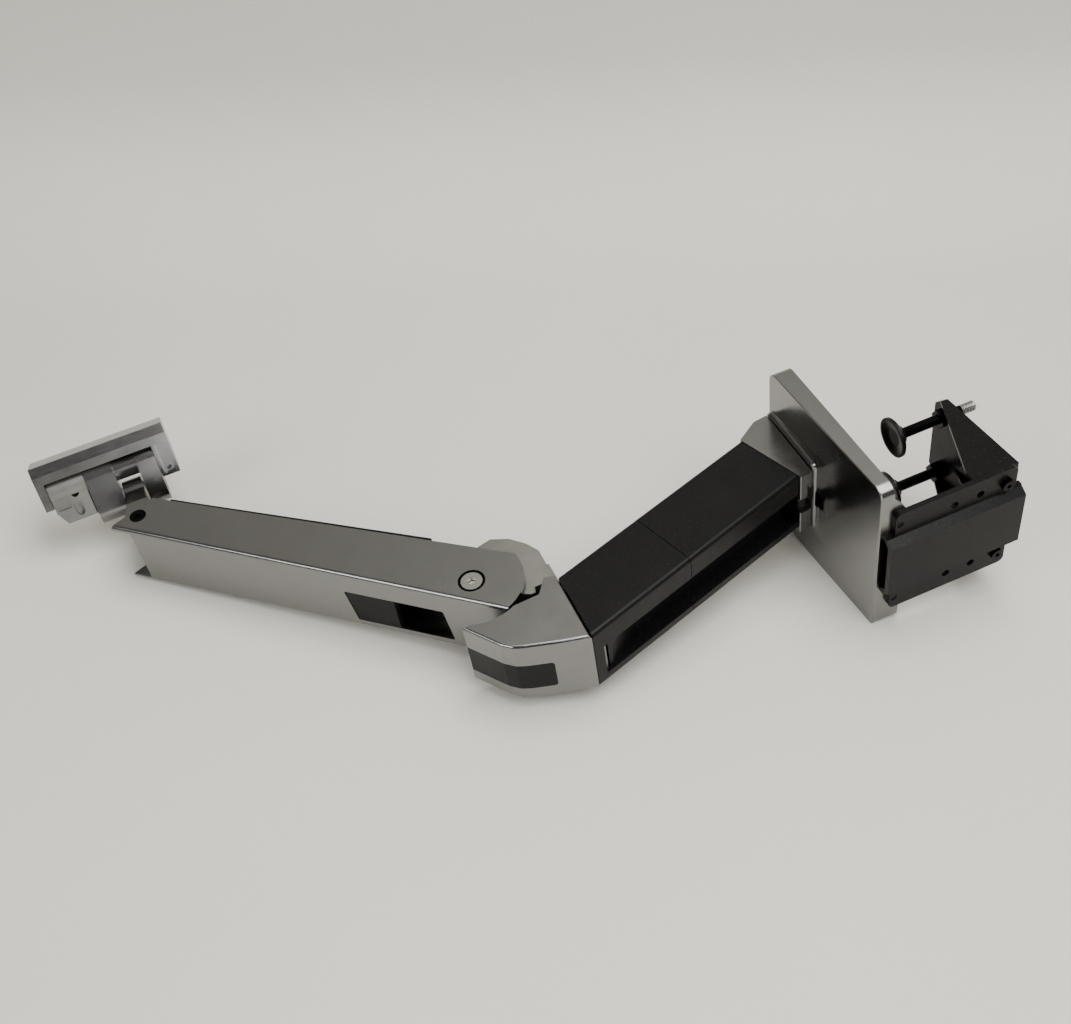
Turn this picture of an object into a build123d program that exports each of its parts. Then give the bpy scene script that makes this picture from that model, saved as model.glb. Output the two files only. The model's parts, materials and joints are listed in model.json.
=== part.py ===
"""Heavy-duty desk monitor arm: clamp base, leaning riser, sprung lift arm and hinged head.

All sizes in millimetres.  +Z runs up the swivel axis, the origin is on the desk surface
under that axis, +X runs towards the desk edge that the clamp grips.
"""
from build123d import *
import math
import os

os.makedirs("parts", exist_ok=True)

# ---------------------------------------------------------------- sizes
plate_size = 140.0
plate_centre_x = 36.3
pad_thickness = 1.5
rim_height = 21.5
rim_rise = 4.5
plate_corner_radius = 9.0
plate_wall = 6.0
column_size = 65.0
column_top = 28.3
column_corner = 4.0
column_straight = 1.3
column_flare = ((1.2, 1.0), (1.1, 2.8), (0.6, 4.2), (0.8, 7.0))
cable_relief_height = 11.5
cable_relief_depth = 9.0

swivel_gap = 0.6
post_radius = 13.0
post_clearance = 0.05
bush_wall = 2.0

bracket_thickness = 4.0
bracket_half_width = 48.0
channel_half_width = 24.0
channel_rise = 6.0
bracket_bottom = -81.0
bracket_top = 12.0
channel_top = 18.0
channel_bottom = -86.0
hole_column_y = 35.0
hole_first_z = -33.0
hole_pitch = 20.0
hole_radius = 2.9

jaw_top = -80.0
jaw_thickness = 4.0
jaw_tip_x = 17.0
jaw_tip_half_width = 38.0
jaw_root_half_width = 46.0
jaw_leg_top = -50.0
jaw_flange = 3.0
clamp_screw_x = 30.5
clamp_screw_y = 27.5
clamp_screw_radius = 3.9
clamp_screw_bottom = -103.0
pad_top = -36.0
pad_radius = 15.0
thread_clearance = 0.05

riser_half_width = 28.0
riser_far_x = -38.0
riser_near_x = 18.6
riser_lean = 0.322
elbow_plane_z = 223.0
elbow_axis_x = 62.0
cover_wall = 2.6
cover_gap = 0.5
slot_low_y = -20.0
slot_high_y = 9.0
slot_depth = 13.0

elbow_half_width = 28.0
scoop_radius = 38.0
hinge_x = 9.0
hinge_z = 276.0

lug_half_width = 21.0
lug_slot_half = 6.5
link_offset_x = -4
link_offset_z = -11.5
link_half_thick = 5.3
link_half_height = 3.2

arm_length = 266.0
arm_angle = 48.0
arm_half_width = 28.0
arm_wall = 3.5
web_edge_radius = 3.0
arm_end_radius = 36.0
arm_near_root = 17.1
arm_near_tip = 14.9
arm_far_root = -29.9
arm_far_tip = -18.9
tip_overhang = 14.9
window_start = 14.0
window_end = 94.0
window_split = 56.0
window_low_y = -21.0
window_high_y = 9.0

hinge_bolt_radius = 5.0
hinge_head_radius = 7.5
hinge_recess_radius = 9.5
tip_screw_radius = 3.0
tip_head_radius = 6.0

spring_radius = 6
spring_wire = 2.8
spring_pitch = 6.0
spring_v = 3.5

pan_x = -222
pan_pin_radius = 5.0
front_lug_low = 465.2
front_lug_high = 480.2
yoke_low = 449.2
yoke_high = 503.5
yoke_facing = 119.0
barrel_radius = 8.0
head_low = 435.3
head_high = 538.5
running_clearance = 0.05
body_gap = 0.4

# ---------------------------------------------------------------- derived frames
arm_dir = (-math.cos(math.radians(arm_angle)), 0, math.sin(math.radians(arm_angle)))
arm_plane = Plane(origin=(hinge_x, 0, hinge_z), x_dir=arm_dir, z_dir=(0, 1, 0))
tip_x = hinge_x + arm_length * arm_dir[0]
tip_z = hinge_z + arm_length * arm_dir[2]
side_plane = Plane(origin=(0, 0, 0), x_dir=(1, 0, 0), z_dir=(0, -1, 0))
facing_dir = (math.cos(math.radians(yoke_facing)), math.sin(math.radians(yoke_facing)), 0)


def save(part, name):
    """Write one named piece."""
    part.label = name
    export_step(part, f"parts/{name}.step")


def far_x(z):
    """Far face of the riser at height z."""
    return riser_far_x + riser_lean * z


def near_x(z):
    """Near face of the riser at height z."""
    return riser_near_x + riser_lean * z


def upright(points, low, high):
    """Sketch polygon in X and Z, extruded between two Y values, as a private solid."""
    with BuildPart() as solid:
        with BuildSketch(side_plane.offset(-low)):
            Polygon(*points, align=None)
        extrude(amount=-(high - low))
    return solid.part


# ---------------------------------------------------------------- base
plate_near_x = plate_centre_x + plate_size / 2
plate_far_x = plate_centre_x - plate_size / 2
bore_radius = post_radius + post_clearance + bush_wall
notch_width = 15.0


def make_base_plate():
    """Square cast plate with a low column for the swivel."""
    top_angle = math.degrees(math.atan(rim_rise / plate_size))
    slope = Plane(
        origin=(plate_near_x, 0, rim_height),
        x_dir=(-math.cos(math.radians(top_angle)), 0, math.sin(math.radians(top_angle))),
        z_dir=(math.sin(math.radians(top_angle)), 0, math.cos(math.radians(top_angle))),
    )
    with BuildPart() as base_plate:
        with BuildSketch(Plane.XY.offset(pad_thickness)):
            with Locations((plate_centre_x, 0)):
                RectangleRounded(plate_size, plate_size, plate_corner_radius)
        extrude(amount=rim_height + rim_rise)
        split(bisect_by=slope, keep=Keep.BOTTOM)
        rim_edges = base_plate.faces().sort_by(Axis.Z)[-1].edges()
        fillet(rim_edges, 1.0)
        with BuildSketch(Plane.XY.offset(column_top)):
            RectangleRounded(column_size, column_size, column_corner)
        extrude(amount=-column_straight)
        level = column_top - column_straight
        grown = 0.0
        for drop, spread in column_flare:
            with BuildSketch(Plane.XY.offset(level)):
                RectangleRounded(column_size + 2 * grown, column_size + 2 * grown, column_corner + grown)
            extrude(amount=-drop, taper=-math.degrees(math.atan(spread / drop)))
            level = level - drop
            grown = grown + spread
        with BuildSketch(Plane.XY):
            with Locations((plate_centre_x, 0)):
                RectangleRounded(plate_size, plate_size, plate_corner_radius)
        extrude(amount=column_top + 5, mode=Mode.INTERSECT)
        with BuildSketch(Plane.XY.offset(pad_thickness)):
            with Locations((plate_centre_x, 0)):
                Rectangle(plate_size - 2 * plate_wall, plate_size - 2 * plate_wall)
            Circle(bore_radius + 9, mode=Mode.SUBTRACT)
        extrude(amount=rim_height - plate_wall - pad_thickness, mode=Mode.SUBTRACT)
        with BuildSketch(Plane.XY):
            Circle(bore_radius)
        extrude(amount=column_top, mode=Mode.SUBTRACT)
        with BuildSketch(Plane.XY):
            Circle(bore_radius + 6.5)
        extrude(amount=9.5, mode=Mode.SUBTRACT)
        with BuildSketch(Plane.YZ.offset(plate_far_x - 1)):
            Polygon(
                (plate_size / 2 - 24, -1),
                (plate_size / 2 + 1, -1),
                (plate_size / 2 + 1, cable_relief_height),
                (plate_size / 2 - cable_relief_depth, cable_relief_height),
                (plate_size / 2 - 24, pad_thickness),
                align=None,
            )
        extrude(amount=plate_size + 2, mode=Mode.SUBTRACT)
        with Locations((column_size / 2 + 3, 0, column_top - 7)):
            Box(12, notch_width, 10, mode=Mode.SUBTRACT)
        with Locations(Plane.YZ.offset(plate_near_x - plate_wall - 1)):
            with Locations((-38, 8.5), (38, 8.5)):
                Cylinder(2.6, 20, mode=Mode.SUBTRACT)
    return base_plate.part


base_plate = make_base_plate()
save(base_plate, "base_plate")

with BuildPart() as base_pad:
    with BuildSketch(Plane.XY):
        with Locations((plate_centre_x, -13)):
            RectangleRounded(plate_size - 7, plate_size - 33, 6)
    extrude(amount=pad_thickness)
save(base_pad.part, "base_pad")

with BuildPart() as base_bush:
    with BuildSketch(Plane.XY.offset(10)):
        Circle(bore_radius)
        Circle(post_radius + post_clearance, mode=Mode.SUBTRACT)
    extrude(amount=column_top - 10)
save(base_bush.part, "base_bush")

with BuildPart() as clamp_bracket:
    with BuildSketch(Plane.XY.offset(channel_bottom)):
        inner_x = plate_near_x
        outer_x = plate_near_x + bracket_thickness
        Polygon(
            (outer_x, -bracket_half_width),
            (outer_x, -channel_half_width - 3),
            (outer_x + channel_rise, -channel_half_width + 1),
            (outer_x + channel_rise, channel_half_width - 1),
            (outer_x, channel_half_width + 3),
            (outer_x, bracket_half_width),
            (inner_x, bracket_half_width),
            (inner_x, channel_half_width + 1),
            (inner_x + channel_rise, channel_half_width - 3),
            (inner_x + channel_rise, -channel_half_width + 3),
            (inner_x, -channel_half_width - 1),
            (inner_x, -bracket_half_width),
            align=None,
        )
    extrude(amount=channel_top - channel_bottom)
    trim_width = bracket_half_width - channel_half_width
    for sign in (-1, 1):
        trim_y = sign * (channel_half_width + 4 + trim_width / 2)
        with Locations((plate_near_x + 5, trim_y, bracket_top + 5), (plate_near_x + 5, trim_y, bracket_bottom - 5)):
            Box(20, trim_width, 10, mode=Mode.SUBTRACT)
    with Locations(Plane.YZ.offset(plate_near_x + 2)):
        with Locations(
            *[(s * hole_column_y, hole_first_z - i * hole_pitch) for s in (-1, 1) for i in range(2)]
        ):
            Cylinder(hole_radius, 12, mode=Mode.SUBTRACT)
        with Locations(*[(s * hole_column_y, hole_first_z - 2 * hole_pitch) for s in (-1, 1)]):
            Cylinder(hole_radius + 0.4, 12, mode=Mode.SUBTRACT)
        with Locations((-38, 8.5), (38, 8.5)):
            Cylinder(2.6, 12, mode=Mode.SUBTRACT)
    corner = clamp_bracket.edges().filter_by(Axis.X).filter_by(
        lambda e: abs(abs(e.center().Y) - bracket_half_width) < 0.1
    )
    fillet(corner, 4.5)
save(clamp_bracket.part, "clamp_bracket")

with BuildPart() as bracket_screws:
    with Locations(Plane.YZ.offset(plate_near_x - plate_wall - 3)):
        with Locations((-38, 8.5), (38, 8.5)):
            Cylinder(4.5, 3, align=(Align.CENTER, Align.CENTER, Align.MIN))
            Cylinder(2.5, plate_wall + 3 + 3.6, align=(Align.CENTER, Align.CENTER, Align.MIN))
save(bracket_screws.part, "bracket_screws")

jaw_near_x = plate_near_x
jaw_low = jaw_top - jaw_thickness


def make_jaw():
    """Lower jaw: flat tongue, upright leg and tapering side flanges."""
    outline = [
        (jaw_near_x, -jaw_root_half_width),
        (jaw_near_x, jaw_root_half_width),
        (jaw_tip_x + 8, jaw_tip_half_width),
        (jaw_tip_x, jaw_tip_half_width - 8),
        (jaw_tip_x, -jaw_tip_half_width + 8),
        (jaw_tip_x + 8, -jaw_tip_half_width),
    ]
    leg_x = jaw_near_x - jaw_thickness
    with BuildPart() as jaw:
        with BuildSketch(Plane.XY.offset(jaw_low)):
            Polygon(*outline, align=None)
        extrude(amount=jaw_leg_top - jaw_low)
        with BuildSketch(Plane.XY.offset(jaw_top)):
            Polygon(
                (leg_x, -jaw_root_half_width + jaw_flange),
                (leg_x, jaw_root_half_width - jaw_flange),
                (jaw_tip_x - 5, jaw_tip_half_width - jaw_flange - 0.5),
                (jaw_tip_x - 5, -jaw_tip_half_width + jaw_flange + 0.5),
                align=None,
            )
        extrude(amount=50, mode=Mode.SUBTRACT)
        with BuildSketch(side_plane.offset(60)):
            Polygon(
                (leg_x - 6, jaw_leg_top + 1),
                (leg_x - 6, jaw_leg_top),
                (jaw_tip_x + 4, jaw_top),
                (jaw_tip_x - 5, jaw_top),
                (jaw_tip_x - 5, jaw_leg_top + 1),
                align=None,
            )
        extrude(amount=-120, mode=Mode.SUBTRACT)
        for sign in (-1, 1):
            with BuildSketch(side_plane.offset(-sign * 12 - 1.5)):
                Polygon(
                    (leg_x, jaw_top + 16),
                    (leg_x, jaw_top),
                    (jaw_tip_x + 30, jaw_top),
                    align=None,
                )
            extrude(amount=3)
        with Locations((clamp_screw_x, clamp_screw_y, jaw_low), (clamp_screw_x, -clamp_screw_y, jaw_low)):
            Cylinder(clamp_screw_radius + thread_clearance + 1.2, 20, mode=Mode.SUBTRACT)
        with Locations(Plane.YZ.offset(jaw_near_x - 4)):
            with Locations(*[(s * hole_column_y, hole_first_z - 2 * hole_pitch) for s in (-1, 1)]):
                Cylinder(2.6, 20, mode=Mode.SUBTRACT)
    return jaw.part


save(make_jaw(), "clamp_jaw")

with BuildPart() as jaw_screws:
    with Locations(Plane.YZ.offset(plate_near_x - jaw_thickness - 2)):
        with Locations(*[(s * hole_column_y, hole_first_z - 2 * hole_pitch) for s in (-1, 1)]):
            shank_length = jaw_thickness + 2 + bracket_thickness
            Cylinder(2.5, shank_length, align=(Align.CENTER, Align.CENTER, Align.MIN))
    with Locations(Plane.YZ.offset(plate_near_x + bracket_thickness)):
        with Locations(*[(s * hole_column_y, hole_first_z - 2 * hole_pitch) for s in (-1, 1)]):
            Cylinder(4.6, 3.2, align=(Align.CENTER, Align.CENTER, Align.MIN))
            Cylinder(1.6, 3.2, align=(Align.CENTER, Align.CENTER, Align.MIN), mode=Mode.SUBTRACT)
save(jaw_screws.part, "jaw_screws")

with BuildPart() as clamp_nuts:
    with BuildSketch(Plane.XY.offset(jaw_top)):
        with Locations((clamp_screw_x, clamp_screw_y), (clamp_screw_x, -clamp_screw_y)):
            RegularPolygon(7.2, 6)
            Circle(clamp_screw_radius + thread_clearance, mode=Mode.SUBTRACT)
    extrude(amount=7)
save(clamp_nuts.part, "clamp_nuts")


def make_clamp_screw(y):
    """Threaded rod with a hexagon socket in its lower end."""
    with BuildPart() as rod:
        with BuildSketch(Plane.XY.offset(clamp_screw_bottom)):
            with Locations((clamp_screw_x, y)):
                Circle(clamp_screw_radius)
        extrude(amount=pad_top - 4.5 - clamp_screw_bottom)
        chamfer(rod.faces().sort_by(Axis.Z)[0].edges(), 0.8)
        with BuildSketch(Plane.XY.offset(clamp_screw_bottom)):
            with Locations((clamp_screw_x, y)):
                RegularPolygon(2.3, 6)
        extrude(amount=6, mode=Mode.SUBTRACT)
    return rod.part


def make_clamp_pad(y):
    """Dished steel disc with a hub that holds the rod end."""
    with BuildPart() as pad:
        with BuildSketch(Plane.XZ):
            Polygon(
                (0, pad_top - 1.6),
                (0, pad_top - 4.4),
                (clamp_screw_radius + 0.1, pad_top - 4.4),
                (clamp_screw_radius + 0.1, pad_top - 8),
                (clamp_screw_radius + 2.6, pad_top - 8),
                (clamp_screw_radius + 3.6, pad_top - 4.6),
                (pad_radius - 1.5, pad_top - 3.2),
                (pad_radius, pad_top - 2),
                (pad_radius, pad_top),
                (pad_radius - 2, pad_top),
                (clamp_screw_radius + 2.5, pad_top - 1.6),
                align=None,
            )
        revolve(axis=Axis.Z)
    return Pos(clamp_screw_x, y, 0) * pad.part


for tag, offset_y in (("left", clamp_screw_y), ("right", -clamp_screw_y)):
    save(make_clamp_screw(offset_y), f"clamp_screw_{tag}")
    save(make_clamp_pad(offset_y), f"clamp_pad_{tag}")

# ---------------------------------------------------------------- riser
foot_low = column_top + swivel_gap
cover_low_far = (far_x(57.2), 57.2)
cover_low_near = (near_x(39.0), 39.0)
split_far = (12.0, 155.2)
split_near = (63.3, 138.7)
cover_top_z = elbow_plane_z - 0.3
frame_inset_far = 7.0
frame_inset_near = 17.5
frame_half_width = 20.5
frame_wall = 4.0
post_flange_radius = 18.0
foot_counterbore_z = 38.5
elbow_post_radius = 12.0
elbow_bore = elbow_post_radius + post_clearance + bush_wall


def make_foot():
    """Polished casting that turns on the column and carries the riser."""
    with BuildPart() as foot:
        with BuildSketch(side_plane.offset(riser_half_width + 0.6)):
            Polygon(
                (-column_size / 2, foot_low),
                (column_size / 2, foot_low),
                (column_size / 2 + 1.2, 33),
                (column_size / 2 + 1.2, 38.4),
                (cover_low_near[0], cover_low_near[1] - 0.2),
                (cover_low_far[0], cover_low_far[1] - 0.2),
                (-31, 40),
                align=None,
            )
        extrude(amount=-2 * (riser_half_width + 0.6))
        long_edges = foot.edges().filter_by(Axis.Y).filter_by(lambda e: 30 < e.center().Z < 50)
        fillet(long_edges, 1.0)
        with BuildSketch(Plane.XY.offset(foot_low)):
            Circle(post_radius + 0.05)
        extrude(amount=foot_counterbore_z - foot_low, mode=Mode.SUBTRACT)
        with BuildSketch(Plane.XY.offset(foot_counterbore_z)):
            Circle(post_flange_radius + 0.2)
        extrude(amount=60, mode=Mode.SUBTRACT)
        with Locations((column_size / 2, -1.5, 33.5)):
            Box(14, notch_width - 1, 10.6, mode=Mode.SUBTRACT)
    return foot.part


save(make_foot(), "foot_casting")

with BuildPart() as swivel_post:
    with BuildSketch(Plane.XY.offset(3.2)):
        Circle(post_radius)
    extrude(amount=foot_counterbore_z - 3.2)
    with BuildSketch(Plane.XY.offset(foot_counterbore_z)):
        Circle(post_flange_radius)
    extrude(amount=4)
    with BuildSketch(Plane.XY.offset(foot_counterbore_z + 4)):
        RegularPolygon(7, 6)
    extrude(amount=-8, mode=Mode.SUBTRACT)
save(swivel_post.part, "swivel_post")

with BuildPart() as post_washer:
    with BuildSketch(Plane.XY.offset(8.4)):
        Circle(bore_radius + 5.5)
        Circle(post_radius + 0.1, mode=Mode.SUBTRACT)
    extrude(amount=1.0)
save(post_washer.part, "post_washer")

with BuildPart() as post_nut:
    with BuildSketch(Plane.XY.offset(3.4)):
        RegularPolygon(bore_radius + 5.0, 6)
        Circle(post_radius, mode=Mode.SUBTRACT)
    extrude(amount=4.9)
save(post_nut.part, "post_nut")


def riser_skin(grow_far, grow_near, half, bottom, top):
    """Slanted box of the riser between two (far, near) pairs of heights, walls moved by an amount."""
    low_far, low_near = bottom
    high_far, high_near = top
    return upright(
        [
            (far_x(low_far) + grow_far, low_far),
            (near_x(low_near) - grow_near, low_near),
            (near_x(high_near) - grow_near, high_near),
            (far_x(high_far) + grow_far, high_far),
        ],
        -half,
        half,
    )


def make_cover(bottom, top):
    """Moulded riser cover: four walls open at both ends, with the cable slot cut through the near wall."""
    outer = riser_skin(0, 0, riser_half_width, bottom, top)
    ridge = outer.edges().filter_by(
        lambda e: abs(abs(e.center().Y) - riser_half_width) < 0.1
        and abs(e.tangent_at(0.5).Z) > 0.9
    )
    outer = fillet(ridge, 3.0)
    inner = riser_skin(
        cover_wall,
        cover_wall,
        riser_half_width - cover_wall,
        (bottom[0] - 30, bottom[1] - 30),
        (top[0] + 30, top[1] + 30),
    )
    slot = riser_skin(
        50,
        -10,
        (slot_high_y - slot_low_y) / 2,
        (bottom[0] - 40, bottom[1] - 40),
        (slot_top_z + 8, slot_top_z),
    )
    slot = Pos(0, (slot_high_y + slot_low_y) / 2, 0) * slot
    return outer - inner - slot


slot_top_z = 210.5
save(
    make_cover((cover_low_far[1], cover_low_near[1]), (split_far[1] - cover_gap, split_near[1] - cover_gap)),
    "cover_lower",
)
save(
    make_cover((split_far[1], split_near[1]), (cover_top_z, cover_top_z)),
    "cover_upper",
)

trough_wall = 1.8
trough_ramp_z = 184.0
trough_low_z = 46.0
slot_mid_y = (slot_low_y + slot_high_y) / 2
slot_half = (slot_high_y - slot_low_y) / 2


def make_trough():
    """Recessed cable channel behind the slot, running out at the top in a ramp."""
    lip = cover_wall + 0.1
    outer = upright(
        [
            (near_x(trough_low_z) - lip, trough_low_z),
            (near_x(slot_top_z + 1) - lip, slot_top_z + 1),
            (near_x(trough_ramp_z) - slot_depth - trough_wall, trough_ramp_z),
            (near_x(trough_low_z) - slot_depth - trough_wall, trough_low_z),
        ],
        slot_mid_y - slot_half - trough_wall,
        slot_mid_y + slot_half + trough_wall,
    )
    inner = upright(
        [
            (near_x(trough_low_z - 10) + 5, trough_low_z - 10),
            (near_x(slot_top_z - 2) + 5, slot_top_z - 2),
            (near_x(slot_top_z - 2) - lip, slot_top_z - 2),
            (near_x(trough_ramp_z) - slot_depth, trough_ramp_z),
            (near_x(trough_low_z - 10) - slot_depth, trough_low_z - 10),
        ],
        slot_mid_y - slot_half,
        slot_mid_y + slot_half,
    )
    return outer - inner


save(make_trough(), "cable_trough")

spine_low_far = 54.8
spine_low_near = 44.8
flange_low = 213.0
elbow_nut_low = 203.0


def make_spine():
    """Load-bearing box of the riser with a top flange for the elbow bearing."""
    shaft = riser_skin(
        frame_inset_far,
        frame_inset_near,
        frame_half_width,
        (spine_low_far, spine_low_near),
        (flange_low + 2, flange_low + 2),
    )
    hollow = riser_skin(
        frame_inset_far + frame_wall,
        frame_inset_near + frame_wall,
        frame_half_width - frame_wall,
        (spine_low_far - 20, spine_low_near - 20),
        (flange_low, flange_low),
    )
    flange = riser_skin(
        cover_wall + 0.3,
        cover_wall + 0.3,
        riser_half_width - cover_wall - 0.3,
        (flange_low, flange_low),
        (cover_top_z - 0.2, cover_top_z - 0.2),
    )
    with BuildPart() as tools:
        with Locations((elbow_axis_x, 0, flange_low)):
            Cylinder(13.5, 28, align=(Align.CENTER, Align.CENTER, Align.MAX))
        with Locations((elbow_axis_x, 0, flange_low - 1)):
            Cylinder(elbow_bore, 30, align=(Align.CENTER, Align.CENTER, Align.MIN))
    return shaft - hollow + flange - tools.part


save(make_spine(), "riser_spine")

with BuildPart() as elbow_bush:
    with BuildSketch(Plane.XY.offset(flange_low)):
        with Locations((elbow_axis_x, 0)):
            Circle(elbow_bore)
            Circle(elbow_post_radius + post_clearance, mode=Mode.SUBTRACT)
    extrude(amount=cover_top_z - 0.2 - flange_low)
save(elbow_bush.part, "elbow_bush")

casting_floor = 8.0
elbow_low = elbow_plane_z + 0.5
elbow_flange_z = elbow_low + casting_floor

with BuildPart() as elbow_post:
    with BuildSketch(Plane.XY.offset(elbow_nut_low - 2)):
        with Locations((elbow_axis_x, 0)):
            Circle(elbow_post_radius - 4)
    extrude(amount=flange_low - 1.2 - elbow_nut_low + 2)
    with BuildSketch(Plane.XY.offset(flange_low - 1.2)):
        with Locations((elbow_axis_x, 0)):
            Circle(elbow_post_radius)
    extrude(amount=elbow_flange_z - flange_low + 1.2)
    with BuildSketch(Plane.XY.offset(elbow_flange_z)):
        with Locations((elbow_axis_x, 0)):
            Circle(elbow_post_radius + 6)
    extrude(amount=3.5)
    with BuildSketch(Plane.XY.offset(elbow_flange_z + 3.5)):
        with Locations((elbow_axis_x, 0)):
            RegularPolygon(5, 6)
    extrude(amount=-6, mode=Mode.SUBTRACT)
save(elbow_post.part, "elbow_post")

with BuildPart() as elbow_washer:
    with BuildSketch(Plane.XY.offset(flange_low - 2.6)):
        with Locations((elbow_axis_x, 0)):
            Circle(12.8)
            Circle(elbow_post_radius - 4 + 0.1, mode=Mode.SUBTRACT)
    extrude(amount=1.3)
save(elbow_washer.part, "elbow_washer")

with BuildPart() as elbow_nut:
    with BuildSketch(Plane.XY.offset(elbow_nut_low - 0.2)):
        with Locations((elbow_axis_x, 0)):
            RegularPolygon(12, 6)
            Circle(elbow_post_radius - 4, mode=Mode.SUBTRACT)
    extrude(amount=7.5)
save(elbow_nut.part, "elbow_nut")

# ---------------------------------------------------------------- elbow


def make_elbow():
    """Polished wedge-shaped casting with the scoop that clears the round end of the arm."""
    profile = [
        (30, 231.5),
        (33, elbow_low),
        (91, elbow_low),
        (85.5, 243),
        (78, 266),
        (75, 272.5),
        (69, 279),
        (44.5, 296),
        (42, 240),
    ]
    with BuildPart() as casting:
        with BuildSketch(side_plane.offset(elbow_half_width)):
            Polygon(*profile, align=None)
        extrude(amount=-2 * elbow_half_width)
        fold = casting.edges().filter_by(Axis.Y).filter_by(lambda e: e.center().Z > 262 and e.center().X > 60)
        fillet(fold, 5.5)
        with Locations(Plane((hinge_x, -elbow_half_width - 1, hinge_z), x_dir=(1, 0, 0), z_dir=(0, 1, 0))):
            Cylinder(
                scoop_radius,
                2 * elbow_half_width + 2,
                align=(Align.CENTER, Align.CENTER, Align.MIN),
                mode=Mode.SUBTRACT,
            )
        outer_edges = casting.edges().filter_by(
            lambda e: abs(abs(e.center().Y) - elbow_half_width) < 0.1 and e.center().X > 50
        )
        fillet(outer_edges, 2.2)
        with BuildSketch(side_plane.offset(22)):
            Polygon(
                (20, 249),
                (39, 249),
                (41, elbow_flange_z),
                (81.5, elbow_flange_z),
                (78.5, 243),
                (71, 265),
                (66, 271.5),
                (46, 285),
                (20, 285),
                align=None,
            )
        extrude(amount=-44, mode=Mode.SUBTRACT)
        with Locations((elbow_axis_x, 0, elbow_low - 1)):
            Cylinder(
                elbow_post_radius, 20, align=(Align.CENTER, Align.CENTER, Align.MIN), mode=Mode.SUBTRACT
            )
    return casting.part


band_low = 249.0
band_depth = 2.2
elbow_solid = make_elbow()

with BuildPart() as band_tool:
    with BuildSketch(side_plane.offset(17)):
        Polygon(
            (83.4 - band_depth, band_low),
            (120, band_low),
            (120, 320),
            (40, 320),
            (40, 299.2 - band_depth),
            (68, 279 - band_depth),
            (73, 271.2),
            (76, 264.6),
            align=None,
        )
    extrude(amount=-25)
    band_corners = band_tool.edges().filter_by(Axis.X).filter_by(lambda e: abs(e.center().Z - band_low) < 0.1)
    fillet(band_corners, 2.5)
band_solid = elbow_solid & band_tool.part
band_solid = max(band_solid.solids(), key=lambda item: item.volume)
elbow_solid = elbow_solid - band_tool.part
save(Part(elbow_solid.wrapped), "elbow_casting")
save(Part(band_solid.wrapped), "elbow_band")

# ---------------------------------------------------------------- hinge lug
rear_pin_x = hinge_x + link_offset_x
rear_pin_z = hinge_z + link_offset_z
bush_radius = hinge_bolt_radius + post_clearance + bush_wall
lug_profile = [
    (33.6, elbow_low + 0.2),
    (33.6, 243),
    (21, 266),
    (21, 279),
    (17, 286),
    (9, 289),
    (0, 286),
    (-6, 279),
    (-23, 262),
    (-26, 250),
    (-20, 238),
    (-10, 229),
    (0, elbow_low + 0.2),
]


def make_lug():
    """Two-cheeked hinge lug that carries the arm and the lower link."""
    with BuildPart() as lug:
        with BuildSketch(side_plane.offset(lug_half_width)):
            Polygon(*lug_profile, align=None)
        extrude(amount=-2 * lug_half_width)
        with BuildSketch(side_plane.offset(elbow_half_width - 0.5)):
            Polygon((34.2, elbow_low + 0.2), (34.2, 240), (20, 232), (20, elbow_low + 0.2), align=None)
        extrude(amount=-2 * (elbow_half_width - 0.5))
        with BuildSketch(side_plane.offset(lug_slot_half)):
            Polygon((14, 320), (14, 243), (-9, 243), (-60, 218), (-60, 320), align=None)
        extrude(amount=-2 * lug_slot_half, mode=Mode.SUBTRACT)
        with Locations(Plane((hinge_x, -40, hinge_z), x_dir=(1, 0, 0), z_dir=(0, 1, 0))):
            Cylinder(bush_radius, 80, align=(Align.CENTER, Align.CENTER, Align.MIN), mode=Mode.SUBTRACT)
        with Locations(Plane((rear_pin_x, -40, rear_pin_z), x_dir=(1, 0, 0), z_dir=(0, 1, 0))):
            Cylinder(3, 80, align=(Align.CENTER, Align.CENTER, Align.MIN), mode=Mode.SUBTRACT)
    return lug.part


save(make_lug() - elbow_solid, "hinge_lug")


def cross_pin(x, z, radius, low, high):
    """Round bar along Y between two Y values."""
    with BuildPart() as bar:
        with Locations(Plane((x, low, z), x_dir=(1, 0, 0), z_dir=(0, 1, 0))):
            Cylinder(radius, high - low, align=(Align.CENTER, Align.CENTER, Align.MIN))
    return bar.part


def both_sides(solid):
    """The solid and its mirror image about the middle plane, as one part of two solids."""
    return Part(Compound(children=[solid, mirror(solid, about=Plane.XZ)]).wrapped)


tip_sleeve_radius = tip_screw_radius + post_clearance + bush_wall
front_pin_x = tip_x + link_offset_x
front_pin_z = tip_z + link_offset_z

hinge_bush = cross_pin(hinge_x, hinge_z, bush_radius, lug_slot_half, lug_half_width)
hinge_bush = hinge_bush - cross_pin(hinge_x, hinge_z, hinge_bolt_radius + post_clearance, 0, 60)
save(both_sides(hinge_bush), "hinge_bushes")
save(cross_pin(rear_pin_x, rear_pin_z, 3, -lug_half_width + 0.6, lug_half_width - 0.6), "link_pin_rear")

# ---------------------------------------------------------------- arm
arm_shape = [(-40, arm_near_root), (tip_overhang + arm_length, arm_near_tip), (arm_length - 1.5, arm_far_tip)]
arm_shape = arm_shape + [(-40, arm_far_root - 0.6)]
far_slope = (arm_far_tip - arm_far_root) / arm_length
near_slope = (arm_near_tip - arm_near_root) / (arm_length + tip_overhang)


def far_v(s):
    """Height of the far edge of the side walls at a place along the arm."""
    return arm_far_root + far_slope * s


def near_v(s):
    """Height of the web face at a place along the arm."""
    return arm_near_root + near_slope * s


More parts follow.
